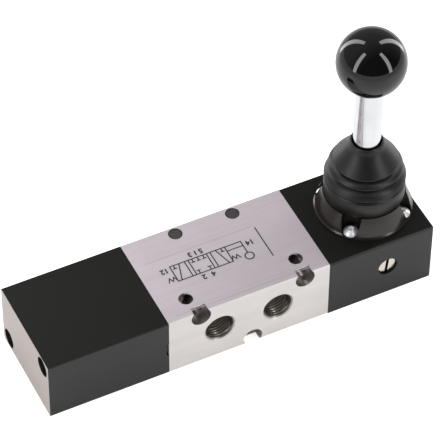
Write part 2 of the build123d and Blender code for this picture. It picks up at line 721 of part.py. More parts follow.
def make_boot():
    """The rubber boot as a plain hollow solid that sits on the flange's neck and round the rod."""
    mouth = ROD_DIA / 2 + SOFT_GAP
    shell = turned_lever(lever_outline(boot_outside(mouth)))
    shell -= turned_lever(lever_outline(boot_inside(mouth)))
    neck_radius = FLANGE_NECK_DIA / 2 + FLANGE_BEAD + ROUND_GAP
    shell -= rod_z(neck_radius, 0, FLANGE_NECK_TOP_Z + SOFT_GAP, LEVER_X)
    return shell - rod_z(mouth, 0, HEIGHT + BOOT_TOP_RISE, LEVER_X)


# ---- knob ----


def make_knob():
    flat_z = KNOB_CENTRE_Z - KNOB_FLAT_DROP
    knob = Pos(LEVER_X, 0, KNOB_CENTRE_Z) * Sphere(KNOB_DIA / 2)
    knob -= block(
        LEVER_X - KNOB_DIA, LEVER_X + KNOB_DIA, -KNOB_DIA, KNOB_DIA, flat_z - KNOB_DIA, flat_z
    )
    return knob - rod_z(INSERT_DIA / 2, flat_z, flat_z + INSERT_LENGTH, LEVER_X)


def make_knob_insert():
    """The threaded brass bush moulded into the knob."""
    flat_z = KNOB_CENTRE_Z - KNOB_FLAT_DROP
    bush = rod_z(INSERT_DIA / 2, flat_z, flat_z + INSERT_LENGTH, LEVER_X)
    return bush - rod_z(STUD_DIA / 2, flat_z, flat_z + STUD_LENGTH + SOFT_GAP, LEVER_X)


PARTS = {
    "valve_body": make_valve_body,
    "blanking_plugs": make_blanking_plugs,
    "spool": make_spool,
    "spool_cages": make_spool_cages,
    "spool_seals": make_spool_seals,
    "end_spacers": make_end_spacers,
    "spring_housing": make_spring_housing,
    "guide_ring": make_guide_ring,
    "centring_stem": make_centring_stem,
    "spring_collar": make_spring_collar,
    "stem_clip": make_stem_clip,
    "inner_spring": make_inner_spring,
    "outer_spring": make_outer_spring,
    "spring_housing_screws": make_spring_housing_screws,
    "lever_housing": make_lever_housing,
    "lever_housing_screws": make_lever_housing_screws,
    "access_plug": make_access_plug,
    "ball_seat": make_ball_seat,
    "boot_flange": make_boot_flange,
    "flange_screws": make_flange_screws,
    "boot": make_boot,
    "lever_rod": make_lever_rod,
    "pivot_ball": make_pivot_ball,
    "drive_yoke": make_drive_yoke,
    "drive_pin": make_drive_pin,
    "knob": make_knob,
    "knob_insert": make_knob_insert,
}

os.makedirs("parts", exist_ok=True)
for node, make in PARTS.items():
    export_step(make(), f"parts/{node}.step")
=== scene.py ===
import json
import math

import bmesh
import bpy
from mathutils import Matrix, Vector


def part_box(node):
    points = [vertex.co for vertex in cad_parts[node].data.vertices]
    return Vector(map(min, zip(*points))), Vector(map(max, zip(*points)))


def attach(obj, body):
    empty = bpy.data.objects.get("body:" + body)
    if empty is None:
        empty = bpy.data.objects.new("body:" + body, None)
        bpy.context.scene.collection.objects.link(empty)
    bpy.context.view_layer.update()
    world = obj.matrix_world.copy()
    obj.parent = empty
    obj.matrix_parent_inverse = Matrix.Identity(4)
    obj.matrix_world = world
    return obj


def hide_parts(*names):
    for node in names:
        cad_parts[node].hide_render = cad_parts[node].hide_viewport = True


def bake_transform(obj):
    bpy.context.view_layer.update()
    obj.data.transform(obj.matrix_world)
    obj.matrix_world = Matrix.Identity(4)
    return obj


bl_info = {
    "name": "Hand lever air valve",
    "version": (1, 0, 0),
    "blender": (4, 5, 0),
    "location": "View3D > Sidebar > Air Valve",
    "description": "Finishes, threads, engraving, boot and knob for a hand lever spool valve",
    "category": "Object",
}

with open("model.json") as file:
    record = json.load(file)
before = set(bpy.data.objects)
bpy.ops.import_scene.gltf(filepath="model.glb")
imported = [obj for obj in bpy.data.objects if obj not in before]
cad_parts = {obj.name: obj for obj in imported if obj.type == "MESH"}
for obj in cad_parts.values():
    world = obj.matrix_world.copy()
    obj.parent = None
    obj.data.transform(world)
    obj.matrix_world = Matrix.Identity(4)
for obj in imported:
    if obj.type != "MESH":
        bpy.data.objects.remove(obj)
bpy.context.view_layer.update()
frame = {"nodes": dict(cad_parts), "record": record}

MM = 0.001
HOUSING = "housing"
LEVER = "lever"

# Places taken from the frame, in metres.
BODY_LOW, BODY_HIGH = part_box("valve_body")
FLANGE_LOW, FLANGE_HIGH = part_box("boot_flange")
BOOT_LOW, BOOT_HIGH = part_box("boot")
ROD_LOW, ROD_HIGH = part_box("lever_rod")
KNOB_LOW, KNOB_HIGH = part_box("knob")
INSERT_LOW, INSERT_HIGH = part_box("knob_insert")
SCREWS_LOW, SCREWS_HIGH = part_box("flange_screws")
SPRING_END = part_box("spring_housing")[0].x
LEVER_X = (FLANGE_LOW.x + FLANGE_HIGH.x) / 2
TOP_Z = BODY_HIGH.z
ROD_RADIUS = (ROD_HIGH.y - ROD_LOW.y) / 2
KNOB_RADIUS = (KNOB_HIGH.x - KNOB_LOW.x) / 2
KNOB_CENTRE_Z = KNOB_HIGH.z - KNOB_RADIUS
PORTS = [mount for mount in frame["record"]["mounts"] if mount["name"].startswith("port_")]

# Vertices nearer than this, in metres, are the same one.
MERGE_DISTANCE = 1e-7

# A turned outline that ends at its axis stops this short of it, so its last ring keeps its vertices apart.
AXIS_GAP = 0.001 * MM

# Between these upward parts of a face's normal, the painted shade of the top faces fades in.
TOP_FACING = {"From Min": 0.8, "From Max": 0.95}


def linear(code):
    """An sRGB hex colour as linear RGBA."""
    values = [int(code[i : i + 2], 16) / 255 for i in (0, 2, 4)]
    return tuple(v / 12.92 if v <= 0.04045 else ((v + 0.055) / 1.055) ** 2.4 for v in values) + (1.0,)


def scaled(tint, share):
    """A linear colour made darker or lighter, up to white."""
    return tuple(min(share * v, 1.0) for v in tint[:3]) + (1.0,)


def colour(name, description, code):
    """A colour property whose default is an sRGB hex value."""
    return bpy.props.FloatVectorProperty(
        name=name, description=description, subtype="COLOR", size=4, min=0, max=1, default=linear(code)
    )


def length(name, description, value_mm):
    """A length property whose default is given in millimetres."""
    return bpy.props.FloatProperty(
        name=name, description=description, subtype="DISTANCE", unit="LENGTH", min=0, default=value_mm * MM
    )


class ValveColours(bpy.types.PropertyGroup):
    """Colours of the outer finishes"""

    silver: colour("Silver", "Anodised valve body", "E6E1DE")
    # Painted shade: the darker colour that the top faces take.
    shaded_silver_top: colour("Silver top", "Ground top face of the valve body", "B4ABB1")
    black: colour("Black", "Black anodised housings", "151614")
    # Pale, fully metallic colour given to the spring housing's end face.
    pale_end_face: colour("Sawn end", "Bare end face of the spring housing", "B8AFAB")
    rubber: colour("Rubber", "Boot", "0B0A0C")
    knob: colour("Knob", "Ball knob", "0B0A0A")
    # Painted shade: the darker colour of the hole walls.
    shaded_hole_wall: colour("Bored", "Walls of the holes cut after anodising", "A29C98")
    flange: colour("Flange", "Round flange under the boot", "1D1915")
    chrome: colour("Chrome", "Lever rod", "DCDEE0")
    zinc: colour("Zinc", "Flange screws", "ECEDF0")
    nickel: colour("Nickel", "Slotted plug", "E4DFD3")
    mark: colour("Mark", "Engraved lines and numbers", "1E171B")
    faint_mark: colour("Faint mark", "Shallow scribed lines", "A59BA3")
    backdrop: colour("Backdrop", "Floor and surroundings", "FFFFFF")


class ValveSizes(bpy.types.PropertyGroup):
    """Sizes of the threads, the marks, the boot and the knob"""

    thread_pitch: length("Thread pitch", "Pitch of the port threads, 28 to the inch", 0.907)
    thread_depth: length("Thread depth", "How far the thread crests stand in from the wall", 0.27)
    mark_width: length("Mark width", "Width of an engraved line", 0.36)
    number_height: length("Number height", "Height of the port numbers", 1.8)
    boot_wall: length("Boot wall", "Thickness of the rubber", 1.0)
    knob_edge: length("Knob edge", "Rounding between the ball and its flat", 0.35)


# ---- building helpers ----


def add_node(tree, kind, links=None, **settings):
    """A shader node with its settings. Its inputs, named or numbered, are values or (node, output name)."""
    node = tree.nodes.new(kind)
    for name, value in settings.items():
        setattr(node, name, value)
    for key, source in (links or {}).items():
        if isinstance(key, int):
            socket = node.inputs[key]
        else:
            socket = next(s for s in node.inputs if s.name == key and s.enabled)
        if isinstance(source, tuple) and isinstance(source[0], bpy.types.Node):
            output = next(s for s in source[0].outputs if s.name == source[1] and s.enabled)
            tree.links.new(output, socket)
        else:
            socket.default_value = source
    return node


def pattern_scale(size_mm):
    """A texture's scale for marks of the given size, since its coordinates are in metres."""
    return 1 / (size_mm * MM)


def new_material(name):
    """An empty node material and its tree."""
    material = bpy.data.materials.new(name)
    material.use_nodes = True
    material.node_tree.nodes.clear()
    return material, material.node_tree


def shade(tree, links):
    """The Principled shader with its inputs, wired to the output."""
    shader = add_node(tree, "ShaderNodeBsdfPrincipled", links)
    add_node(tree, "ShaderNodeOutputMaterial", {"Surface": (shader, "BSDF")})


def add_object(name, data):
    """A new object in the scene."""
    item = bpy.data.objects.new(name, data)
    bpy.context.scene.collection.objects.link(item)
    return item


def dress(mesh, material, smooth_angle):
    """Gives a mesh its finish, smooth round faces and sharp edges."""
    mesh.materials.append(material)
    mesh.shade_smooth()
    mesh.set_sharp_from_angle(angle=math.radians(smooth_angle))


def mesh_piece(name, bm, body, material, smooth_angle=35):
    """A finished mesh that rides on a body, if one is given."""
    bmesh.ops.remove_doubles(bm, verts=bm.verts, dist=MERGE_DISTANCE)
    bmesh.ops.recalc_face_normals(bm, faces=bm.faces)
    mesh = bpy.data.meshes.new(name)
    bm.to_mesh(mesh)
    bm.free()
    piece = add_object(name, mesh)
    dress(mesh, material, smooth_angle)
    if body:
        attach(piece, body)
    return piece


def finish_node(node, material, smooth_angle=30):
    """Gives a CAD node's own mesh a finish in place of its plain one."""
    mesh = frame["nodes"][node].data
    mesh.materials.clear()
    dress(mesh, material, smooth_angle)


def line_holes(node, material, low, high, margin=0.35 * MM):
    """Gives a second finish to the faces well inside a box, which are the walls of holes and slots."""
    mesh = frame["nodes"][node].data
    mesh.materials.append(material)
    for face in mesh.polygons:
        inside = all(a + margin < c < b - margin for a, c, b in zip(low, face.center, high))
        face.material_index = int(inside)


def bridge(bm, rings, closed):
    """Joins each ring of vertices to the next by a band of faces and, if closed, the last to the first."""
    following = rings[1:] + rings[:1] if closed else rings[1:]
    for low, high in zip(rings, following):
        for step in range(len(low)):
            after = (step + 1) % len(low)
            bm.faces.new((low[step], low[after], high[after], high[step]))


def turn(bm, outline, centre, segments=64, hexes=(), closed=False):
    """Turns (radius, height) points about an upright axis. Rings whose numbers are in hexes are hexagons."""
    rings = []
    for index, (radius, height) in enumerate(outline):
        ring = []
        for step in range(segments):
            angle = 2 * math.pi * step / segments
            reach = radius
            if index in hexes:
                reach = radius / math.cos(angle % (math.pi / 3) - math.pi / 6)
            place = Vector((reach * math.cos(angle), reach * math.sin(angle), height))
            ring.append(bm.verts.new(Vector(centre) + place))
        rings.append(ring)
    bridge(bm, rings, closed)
    return rings


def arc(centre_r, centre_z, radius, start, end, steps):
    """Points of an arc in (radius, height), with angles in degrees up from the outward direction."""
    points = []
    for step in range(steps + 1):
        angle = math.radians(start + (end - start) * step / steps)
        points.append((centre_r + radius * math.cos(angle), centre_z + radius * math.sin(angle)))
    return points


# ---- finishes ----


def silver_anodised_aluminium(colours):
    """Extruded aluminium, bead blasted and anodised silver: a pale matt skin, only partly metallic to the
    eye, with faint streaks along the bar. The top faces get a darker colour, which is painted shade. The
    real streaks and grain are finer than this, and both are drawn coarse enough to show."""
    streak_mm = (50, 1.11, 3.33)
    cloud_mm = 11.1
    grain_mm = 0.2
    material, tree = new_material("silver_anodised_aluminium")
    place = add_node(tree, "ShaderNodeTexCoord")
    surface = add_node(tree, "ShaderNodeNewGeometry")
    facing = add_node(tree, "ShaderNodeSeparateXYZ", {"Vector": (surface, "Normal")})
    # Painted shade: faces that point up take the darker top colour.
    top_shade = add_node(tree, "ShaderNodeMapRange", {"Value": (facing, "Z"), **TOP_FACING}, clamp=True)
    stretched = add_node(
        tree,
        "ShaderNodeMapping",
        {"Vector": (place, "Object"), "Scale": tuple(pattern_scale(size) for size in streak_mm)},
    )
    streaks = add_node(
        tree, "ShaderNodeTexNoise", {"Vector": (stretched, "Vector"), "Scale": 1.0, "Detail": 3.0}
    )
    clouds = add_node(
        tree,
        "ShaderNodeTexNoise",
        {"Vector": (place, "Object"), "Scale": pattern_scale(cloud_mm), "Detail": 2.0},
    )
    base = add_node(
        tree,
        "ShaderNodeMix",
        {"Factor": (top_shade, "Result"), "A": tuple(colours.silver), "B": tuple(colours.shaded_silver_top)},
        data_type="RGBA",
    )
    streak_shade = add_node(
        tree, "ShaderNodeMapRange", {"Value": (streaks, "Fac"), "To Min": 0.9, "To Max": 1.06}
    )
    cloud_shade = add_node(
        tree, "ShaderNodeMapRange", {"Value": (clouds, "Fac"), "To Min": 0.95, "To Max": 1.05}
    )
    both = add_node(
        tree,
        "ShaderNodeMath",
        {0: (streak_shade, "Result"), 1: (cloud_shade, "Result")},
        operation="MULTIPLY",
    )
    toned = add_node(
        tree,
        "ShaderNodeVectorMath",
        {"Vector": (base, "Result"), "Scale": (both, "Value")},
        operation="SCALE",
    )
    roughness = add_node(
        tree, "ShaderNodeMapRange", {"Value": (streaks, "Fac"), "To Min": 0.38, "To Max": 0.5}
    )
    blast = add_node(
        tree,
        "ShaderNodeTexNoise",
        {"Vector": (place, "Object"), "Scale": pattern_scale(grain_mm), "Detail": 1.0},
    )
    grain = add_node(
        tree, "ShaderNodeBump", {"Height": (blast, "Fac"), "Strength": 0.12, "Distance": 0.05 * MM}
    )
    shade(
        tree,
        {
            "Base Color": (toned, "Vector"),
            "Metallic": 0.35,
            "Roughness": (roughness, "Result"),
            "Normal": (grain, "Normal"),
        },
    )
    return material


def black_anodised_aluminium(colours):
    """Aluminium bar, bead blasted and anodised black: nearly matt, with a soft sheen that is cut on the top
    faces, which is painted shade. The spring housing's end face is given a pale colour and made fully
    metallic. The real grain is finer than this, and it is drawn coarse enough to show."""
    cloud_mm = 8.33
    grain_mm = 0.25
    end_facing_limit = -0.9
    end_depth = 0.05 * MM
    material, tree = new_material("black_anodised_aluminium")
    place = add_node(tree, "ShaderNodeTexCoord")
    surface = add_node(tree, "ShaderNodeNewGeometry")
    facing = add_node(tree, "ShaderNodeSeparateXYZ", {"Vector": (surface, "Normal")})
    along = add_node(tree, "ShaderNodeSeparateXYZ", {"Vector": (place, "Object")})
    # The spring housing's end face takes the pale colour and is fully metallic.
    faces_end = add_node(
        tree, "ShaderNodeMath", {0: (facing, "X"), 1: end_facing_limit}, operation="LESS_THAN"
    )
    at_end = add_node(
        tree, "ShaderNodeMath", {0: (along, "X"), 1: SPRING_END + end_depth}, operation="LESS_THAN"
    )
    second_finish = add_node(
        tree, "ShaderNodeMath", {0: (faces_end, "Value"), 1: (at_end, "Value")}, operation="MULTIPLY"
    )
    clouds = add_node(
        tree,
        "ShaderNodeTexNoise",
        {"Vector": (place, "Object"), "Scale": pattern_scale(cloud_mm), "Detail": 3.0},
    )
    dyed = add_node(
        tree,
        "ShaderNodeMix",
        {"Factor": (clouds, "Fac"), "A": scaled(colours.black, 0.85), "B": scaled(colours.black, 1.15)},
        data_type="RGBA",
    )
    base = add_node(
        tree,
        "ShaderNodeMix",
        {"Factor": (second_finish, "Value"), "A": (dyed, "Result"), "B": tuple(colours.pale_end_face)},
        data_type="RGBA",
    )
    blast = add_node(
        tree,
        "ShaderNodeTexNoise",
        {"Vector": (place, "Object"), "Scale": pattern_scale(grain_mm), "Detail": 1.0},
    )
    grain = add_node(
        tree, "ShaderNodeBump", {"Height": (blast, "Fac"), "Strength": 0.15, "Distance": 0.05 * MM}
    )
    roughness = add_node(
        tree, "ShaderNodeMapRange", {"Value": (clouds, "Fac"), "To Min": 0.42, "To Max": 0.5}
    )
    # Painted shade: the sheen drops on faces that point up, so the tops look darker.
    sheen = add_node(
        tree,
        "ShaderNodeMapRange",
        {"Value": (facing, "Z"), **TOP_FACING, "To Min": 0.5, "To Max": 0.1},
        clamp=True,
    )
    shade(
        tree,
        {
            "Base Color": (base, "Result"),
            "Metallic": (second_finish, "Value"),
            "Roughness": (roughness, "Result"),
            "Specular IOR Level": (sheen, "Result"),
            "Normal": (grain, "Normal"),
        },
    )
    return material


def grained(name, tint, metallic, roughness, grain_mm, depth_mm, ior=1.5):
    """A finish with a fine grain in its surface, and patches that vary its tone and its roughness."""
    patch_mm = 6.67
    tone_spread = 0.12
    roughness_spread = 0.15
    material, tree = new_material(name)
    place = add_node(tree, "ShaderNodeTexCoord")
    grain = add_node(
        tree,
        "ShaderNodeTexNoise",
        {"Vector": (place, "Object"), "Scale": pattern_scale(grain_mm), "Detail": 2.0},
    )
    patches = add_node(
        tree,
        "ShaderNodeTexNoise",
        {"Vector": (place, "Object"), "Scale": pattern_scale(patch_mm), "Detail": 2.0},
    )
    tone = add_node(
        tree,
        "ShaderNodeMix",
        {"Factor": (patches, "Fac"), "A": scaled(tint, 1 - tone_spread), "B": scaled(tint, 1 + tone_spread)},
        data_type="RGBA",
    )
    rough = add_node(
        tree,
        "ShaderNodeMapRange",
        {
            "Value": (patches, "Fac"),
            "To Min": roughness * (1 - roughness_spread),
            "To Max": roughness * (1 + roughness_spread),
        },
    )
    bump = add_node(
        tree, "ShaderNodeBump", {"Height": (grain, "Fac"), "Strength": 0.3, "Distance": depth_mm * MM}
    )
    links = {
        "Base Color": (tone, "Result"),
        "Metallic": metallic,
        "Roughness": (rough, "Result"),
        "Normal": (bump, "Normal"),
    }
    if not metallic:
        links["IOR"] = ior
    shade(tree, links)
    return material


def finish(name, tint, **details):
    """A grained finish, made once and shared by the pieces that have it."""
    return bpy.data.materials.get(name) or grained(name, tint, **details)


# ---- operators, one for each piece or group of like pieces ----


class VALVE_OT_blocks(bpy.types.Operator):
    """Gives the valve body and the two housings their anodised finishes"""

    bl_idname = "valve.blocks"
    bl_label = "Finish blocks"

    def execute(self, context):
        colours = context.scene.valve_colours
        black = black_anodised_aluminium(colours)
        finish_node("valve_body", silver_anodised_aluminium(colours))
        # The walls of the drilled and milled holes get a duller, darker colour than the skin around them:
        # painted shade in the holes.
        second_finish = finish(
            "shaded_hole_aluminium", colours.shaded_hole_wall, metallic=0.9, roughness=0.38, grain_mm=0.15, depth_mm=0.01
        )
        line_holes("valve_body", second_finish, BODY_LOW, BODY_HIGH)
        finish_node("spring_housing", black)
        finish_node("lever_housing", black)
        return {"FINISHED"}


class VALVE_OT_plugs(bpy.types.Operator):
    """Finishes the blanking plugs and the slotted plug over the drive pin"""

    bl_idname = "valve.plugs"
    bl_label = "Finish plugs"

    def execute(self, context):
        colours = context.scene.valve_colours
        # Moulded nylon: a dull black with a slightly uneven skin.
        nylon = finish(
            "moulded_black_nylon",
            linear("2A2825"),
            metallic=0.0,
            roughness=0.5,
            grain_mm=0.3,
            depth_mm=0.02,
            ior=1.53,
        )
        finish_node("blanking_plugs", nylon)
        # Turned and nickel-plated brass: bright, slightly warm.
        plated = finish(
            "nickel_plated_brass", colours.nickel, metallic=1.0, roughness=0.25, grain_mm=0.2, depth_mm=0.005
        )
        finish_node("access_plug", plated)
        # The slot gets a dark colour: painted shade.
        slot_shade = finish(
            "brass_with_painted_slot_shade", linear("2B241C"), metallic=0.6, roughness=0.4, grain_mm=0.2, depth_mm=0.01
        )
        # Every face behind the plug's front one is in the slot or hidden in the housing, so the box starts
        # there and reaches a metre the other ways.
        face_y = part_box("access_plug")[0].y
        line_holes("access_plug", slot_shade, (-1, face_y, -1), (1, 1, 1), margin=0.1 * MM)
        return {"FINISHED"}


class VALVE_OT_spool_line(bpy.types.Operator):
    """Finishes the inner parts and copies the two springs that the spool squeezes in the real valve"""

    bl_idname = "valve.spool_line"
    bl_label = "Finish spool line"

    def execute(self, context):
        # Ground stainless steel: clean and bright.
        stainless = finish(
            "ground_stainless_steel",
            linear("C9CACC"),
            metallic=1.0,
            roughness=0.22,
            grain_mm=0.1,
            depth_mm=0.003,
        )
        for node in ("spool", "centring_stem", "drive_yoke"):
            finish_node(node, stainless)
        # Turned brass: yellow, with a satin surface.
        brass = finish(
            "turned_brass", linear("C8A050"), metallic=1.0, roughness=0.3, grain_mm=0.15, depth_mm=0.005
        )
        for node in ("spool_cages", "end_spacers", "guide_ring", "knob_insert"):
            finish_node(node, brass)
        # Moulded nitrile rubber: black and dull.
        seal = finish(
            "nitrile_seal_rubber",
            linear("1C1B1B"),
            metallic=0.0,
            roughness=0.6,
            grain_mm=0.2,
            depth_mm=0.01,
            ior=1.52,
        )
        finish_node("spool_seals", seal)
        # Drawn spring steel: grey with a faint oiled sheen.
        spring = finish(
            "drawn_spring_steel",
            linear("8C8D90"),
            metallic=1.0,
            roughness=0.32,
            grain_mm=0.15,
            depth_mm=0.004,
        )
        for node in ("inner_spring", "outer_spring", "stem_clip", "spring_collar"):
            finish_node(node, spring)
        outer_low, outer_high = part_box("outer_spring")
        inner_low, inner_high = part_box("inner_spring")
        self.coil("outer_spring", outer_low.x, outer_high.x)
        self.coil("inner_spring", inner_high.x, inner_low.x)
        # Turned acetal: white and slightly waxy.
        acetal = finish(
            "turned_white_acetal",
            linear("E6E4DE"),
            metallic=0.0,
            roughness=0.35,
            grain_mm=0.2,
            depth_mm=0.004,
            ior=1.48,
        )
        finish_node("ball_seat", acetal)
        # Hardened and ground steel: a near mirror.
        hardened = finish(
            "hardened_ball_steel",
            linear("BFC0C3"),
            metallic=1.0,
            roughness=0.12,
            grain_mm=0.1,
            depth_mm=0.002,
        )
        finish_node("pivot_ball", hardened)
        finish_node("drive_pin", hardened)
        # Steel screws blackened in hot oxide: dark with an oily gloss.
        oxide = finish(
            "black_oxide_steel", linear("1A1A1B"), metallic=0.6, roughness=0.35, grain_mm=0.15, depth_mm=0.005
        )
        finish_node("spring_housing_screws", oxide)
        finish_node("lever_housing_screws", oxide)
        return {"FINISHED"}

    def coil(self, node, still_x, moving_x):
        """A copy of the spring's CAD mesh in place of its node. Its still end, on the housing, and its moving
        end, on the collar, are not used.
        """
        piece = add_object(node + "_coil", frame["nodes"][node].data.copy())
        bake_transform(piece)
        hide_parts(node)


class VALVE_OT_threads(bpy.types.Operator):
    """Adds the threads inside the five ports"""

    bl_idname = "valve.threads"
    bl_label = "Port threads"

    segments = 48
    steps_per_turn = 6
    # The sleeve's wall runs from just inside the bore to just behind it.
    inner_gap = 0.01 * MM
    outer_bite = 0.02 * MM

    def execute(self, context):
        sizes = context.scene.valve_sizes
        # Freshly cut aluminium, glossier than the anodised skin around it, in a darker colour that paints
        # shade inside the ports.
        cut = finish(
            "tapped_aluminium", linear("B0AAA5"), metallic=1.0, roughness=0.3, grain_mm=0.1, depth_mm=0.004
        )
        for port in PORTS:
            self.cut(port, sizes, cut)
        return {"FINISHED"}

    def cut(self, port, sizes, material):
        """One sleeve with a helical thread on its inside, from the mouth to the end of the tapped hole."""
        radius = port["dims"]["r_mm"] * MM
        depth = port["dims"]["length_mm"] * MM
        centre = Vector(port["pos_m"])
        inward = 1 if centre.y < 0 else -1
        rows = math.ceil(depth / sizes.thread_pitch * self.steps_per_turn)
        bm = bmesh.new()
        inner, outer = [], []
        for row in range(rows + 1):
            along = -depth / 2 + depth * row / rows
            fade = min(1.0, row / self.steps_per_turn)
            inner_ring, outer_ring = [], []
            for step in range(self.segments):
                turned = step / self.segments
                phase = (along / sizes.thread_pitch + turned) % 1.0
                crest = 1 - abs(2 * phase - 1)
                reach = radius - self.inner_gap - sizes.thread_depth * crest * fade
                angle = 2 * math.pi * turned
                for ring, far in ((inner_ring, reach), (outer_ring, radius + self.outer_bite)):
                    place = Vector((far * math.cos(angle), inward * along, far * math.sin(angle)))
                    ring.append(bm.verts.new(centre + place))
            inner.append(inner_ring)
            outer.append(outer_ring)
        bridge(bm, inner + outer[::-1], closed=True)
        name = "thread_" + port["name"]
        mesh_piece(name, bm, HOUSING, material, smooth_angle=60)


class VALVE_OT_engraving(bpy.types.Operator):
    """Marks the circuit symbol and the port numbers on the top face"""

    bl_idname = "valve.engraving"
    bl_label = "Engraving"

    # The layout is in millimetres from the middle of the body. The symbol is three squares side by side.
    square = 5.74
    left = -15.95
    front = -3.05
    back = 2.85
    # Where the passages meet a square's edges, and how far a closed one reaches in, as shares of its side.
    way_shares = (0.2, 0.5, 0.8)
    stub_share = 0.22
    # Half the bar across a closed passage.
    half_stop = 0.45
    lever_width = 1.7
    lever_reach = 5.1
    stalk_length = 2.95
    circle_radius = 1.3
    circle_steps = 24
    spring_reach = 2.6
    spring_steps = 4
    spring_ys = (0.5, 1.9)
    # A separate line right of the symbol.
    divider = [(12.4, 5.7), (12.4, -5.9)]
    # Two shallow lines along the face, each with its width as a share of an engraved line's.
    scribed = (([(-22.0, 6.7), (11.6, 6.7)], 0.6), ([(-22.0, -14.4), (22.0, -14.4)], 0.5))
    number_places = {
        "3": (-8.85, 4.6),
        "1": (-7.1, 4.6),
        "5": (-5.45, 4.6),
        "2": (-8.65, -4.65),
        "4": (-5.75, -4.65),
        "12": (-18.05, 1.9),
        "14": (8.6, 1.5),
    }
    # The built-in font's size for a figure one unit high, and how much its strokes are thickened.
    font_size_share = 1.35
    font_bolding = 0.1 * MM
    # A line stands a hair above the face, so that it shows, and reaches just into it.
    line_rise = 0.012 * MM
    line_depth = 0.03 * MM
    number_half_depth = 0.015 * MM

    def execute(self, context):
        sizes = context.scene.valve_sizes
        colours = context.scene.valve_colours
        # Laser marking on anodised aluminium: a dull dark grey with no depth to speak of.
        dark = finish(
            "laser_marked_aluminium", colours.mark, metallic=0.0, roughness=0.6, grain_mm=0.3, depth_mm=0.004
        )
        # Scribing only scratches the anodised skin: a faint line, a little darker than the face.
        pale = finish(
            "scribed_aluminium", colours.faint_mark, metallic=0.5, roughness=0.5, grain_mm=0.3, depth_mm=0.004
        )
        bm = bmesh.new()
        for points in self.lines():
            self.stroke(bm, points, sizes.mark_width)
        self.numbers(bm, sizes.number_height)
        mesh_piece("circuit_symbol", bm, HOUSING, dark)
        bm = bmesh.new()
        for points, share in self.scribed:
            self.stroke(bm, points, sizes.mark_width * share)
        mesh_piece("scribed_lines", bm, HOUSING, pale)
        return {"FINISHED"}

    def lines(self):
        """Every line of the symbol as a list of points in millimetres."""
        square, front, back = self.square, self.front, self.back
        right = self.left + 3 * square
        ways = [share * square for share in self.way_shares]
        stub = self.stub_share * square
        lines = [[(self.left, front), (right, front), (right, back), (self.left, back), (self.left, front)]]
        for index in (1, 2):
            x = self.left + index * square
            lines.append([(x, front), (x, back)])
        first, middle, last = (self.left + index * square for index in range(3))
        lines.append([(first + ways[1], back), (first + ways[0], front)])
        lines.append([(first + ways[2], front), (first + ways[2], back)])
        lines.append([(last + ways[1], back), (last + ways[2], front)])
        lines.append([(last + ways[0], front), (last + ways[0], back)])
        closed = [(first + ways[0], back), (last + ways[2], back)]
        closed += [(middle + way, back) for way in ways]
        closed += [(middle + ways[0], front), (middle + ways[2], front)]
        for x, edge in closed:
            inner = edge + (stub if edge == front else -stub)
            lines.append([(x, edge), (x, inner)])
            lines.append([(x - self.half_stop, inner), (x + self.half_stop, inner)])
        lines += self.lever_lines(right) + self.spring_lines(right)
        lines.append(self.divider)
        return lines

    def lever_lines(self, right):
        """The lever: a flat bar with a stalk and a ball."""
        low = self.back - self.lever_width
        tip = right + self.lever_reach
        ball_y = low - self.stalk_length - self.circle_radius
        bar = [(right, self.back), (tip, self.back), (tip, low), (right, low)]
        ring = []
        for step in range(self.circle_steps + 1):
            angle = 2 * math.pi * step / self.circle_steps
            x = tip + self.circle_radius * math.cos(angle)
            ring.append((x, ball_y + self.circle_radius * math.sin(angle)))
        return [bar, [(tip, low), (tip, ball_y + self.circle_radius)], ring]

    def spring_lines(self, right):
        """The zigzag springs at both ends."""
        lines = []
        for start, side in ((self.left, -1), (right, 1)):
            points = []
            for step in range(self.spring_steps + 1):
                x = start + side * self.spring_reach * step / self.spring_steps
                points.append((x, self.front + self.spring_ys[step % 2]))
            lines.append(points)
        return lines

    def stroke(self, bm, points, width):
        """A flat line on the top face, one strip for each straight run, with ends half a width longer."""
        level = TOP_Z + self.line_rise
        for start, end in zip(points, points[1:]):
            a, b = (Vector((x * MM, y * MM, level)) for x, y in (start, end))
            run = (b - a).normalized()
            side = Vector((-run.y, run.x, 0)) * width / 2
            a, b = a - run * width / 2, b + run * width / 2
            corners = [a - side, b - side, b + side, a + side]
            top = [bm.verts.new(c) for c in corners]
            bottom = [bm.verts.new(c - Vector((0, 0, self.line_depth))) for c in corners]
            bm.faces.new(top)
            bm.faces.new(bottom[::-1])
            for i in range(4):
                bm.faces.new((top[i], bottom[i], bottom[(i + 1) % 4], top[(i + 1) % 4]))

    def numbers(self, bm, height):
        """The port numbers, which read from the back of the valve."""
        for word, (x, y) in self.number_places.items():
            text = bpy.data.curves.new("number", "FONT")
            text.body = word
            text.size = height * self.font_size_share
            text.align_x = "CENTER"
            text.align_y = "CENTER"
            text.extrude = self.number_half_depth
            text.offset = self.font_bolding
            carrier = add_object("number", text)
            bpy.context.view_layer.update()
            shown = carrier.evaluated_get(bpy.context.evaluated_depsgraph_get())
            mesh = bpy.data.meshes.new_from_object(shown)
            place = Matrix.Translation((x * MM, y * MM, TOP_Z)) @ Matrix.Rotation(math.pi, 4, "Z")
            mesh.transform(place)
            bm.from_mesh(mesh)
            bpy.data.meshes.remove(mesh)
            bpy.data.objects.remove(carrier)
            bpy.data.curves.remove(text)


